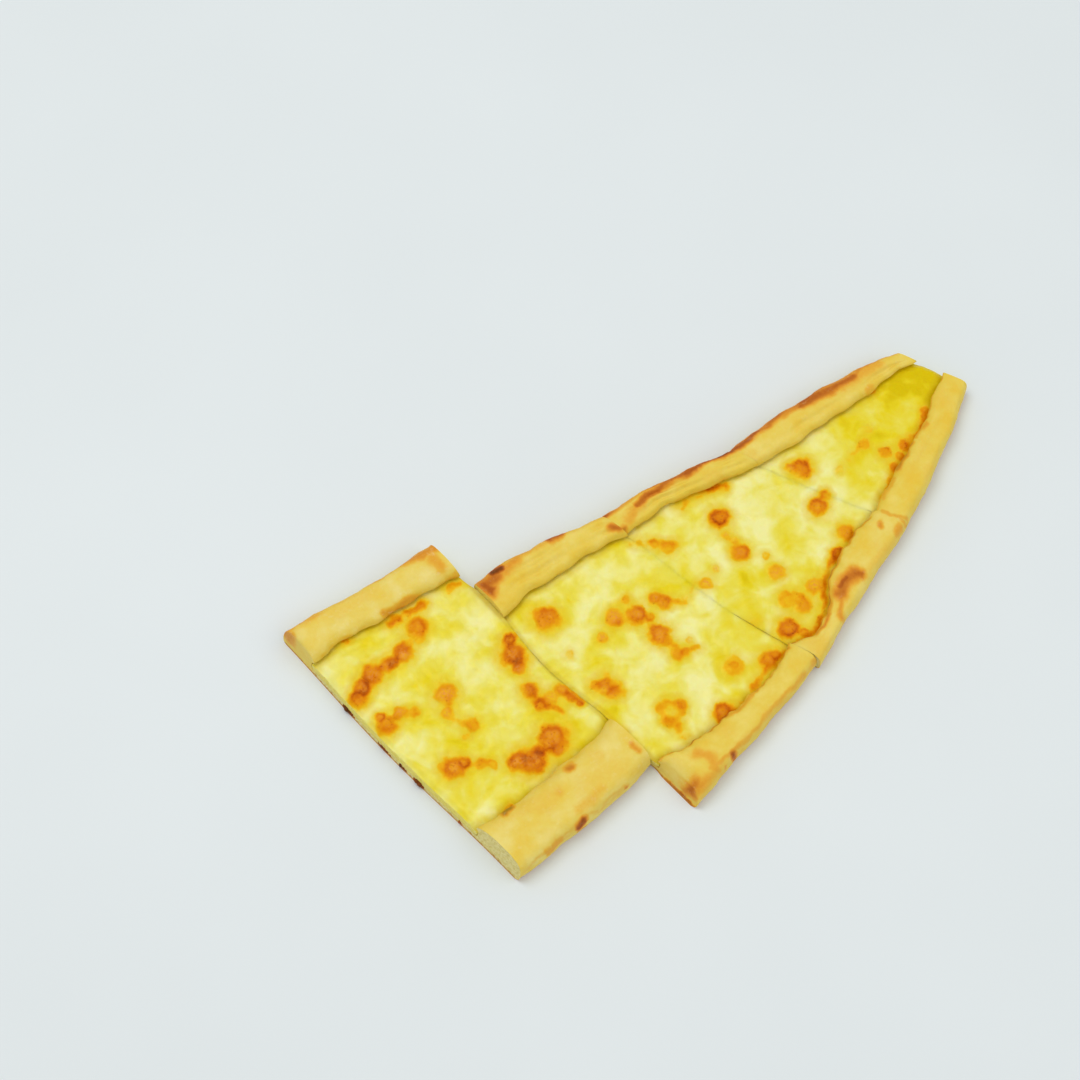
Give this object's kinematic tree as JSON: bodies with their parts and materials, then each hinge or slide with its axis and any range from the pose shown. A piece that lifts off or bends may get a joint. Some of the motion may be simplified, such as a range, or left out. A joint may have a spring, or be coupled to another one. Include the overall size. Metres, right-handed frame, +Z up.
{
  "type": "turkish pide, half of one, in slices",
  "caption": "Half of a boat-shaped flatbread with folded rims and melted browned cheese, narrow at one end, cut crosswise into slices that lie in a row, the broadest slid along its cut.",
  "frame": {"origin": "on the table under the middle of the whole row of slices", "axes": "+X along the row to the narrow end, +Y across it to the far side, +Z up"},
  "size_m": [0.2955, 0.1394, 0.0138],
  "materials": {
    "crust": "baked dough, pale straw with toasted ridges, matt",
    "cheese": "melted cheese, pale yellow with browned blisters, softly oily"
  },
  "bodies": {
    "root": {"slice_1_dough": "crust", "slice_1_cheese": "cheese", "slice_2_dough": "crust", "slice_2_cheese": "cheese", "slice_3_dough": "crust", "slice_3_cheese": "cheese", "slice_4_dough": "crust", "slice_4_cheese": "cheese"}
  },
  "joints": []
}
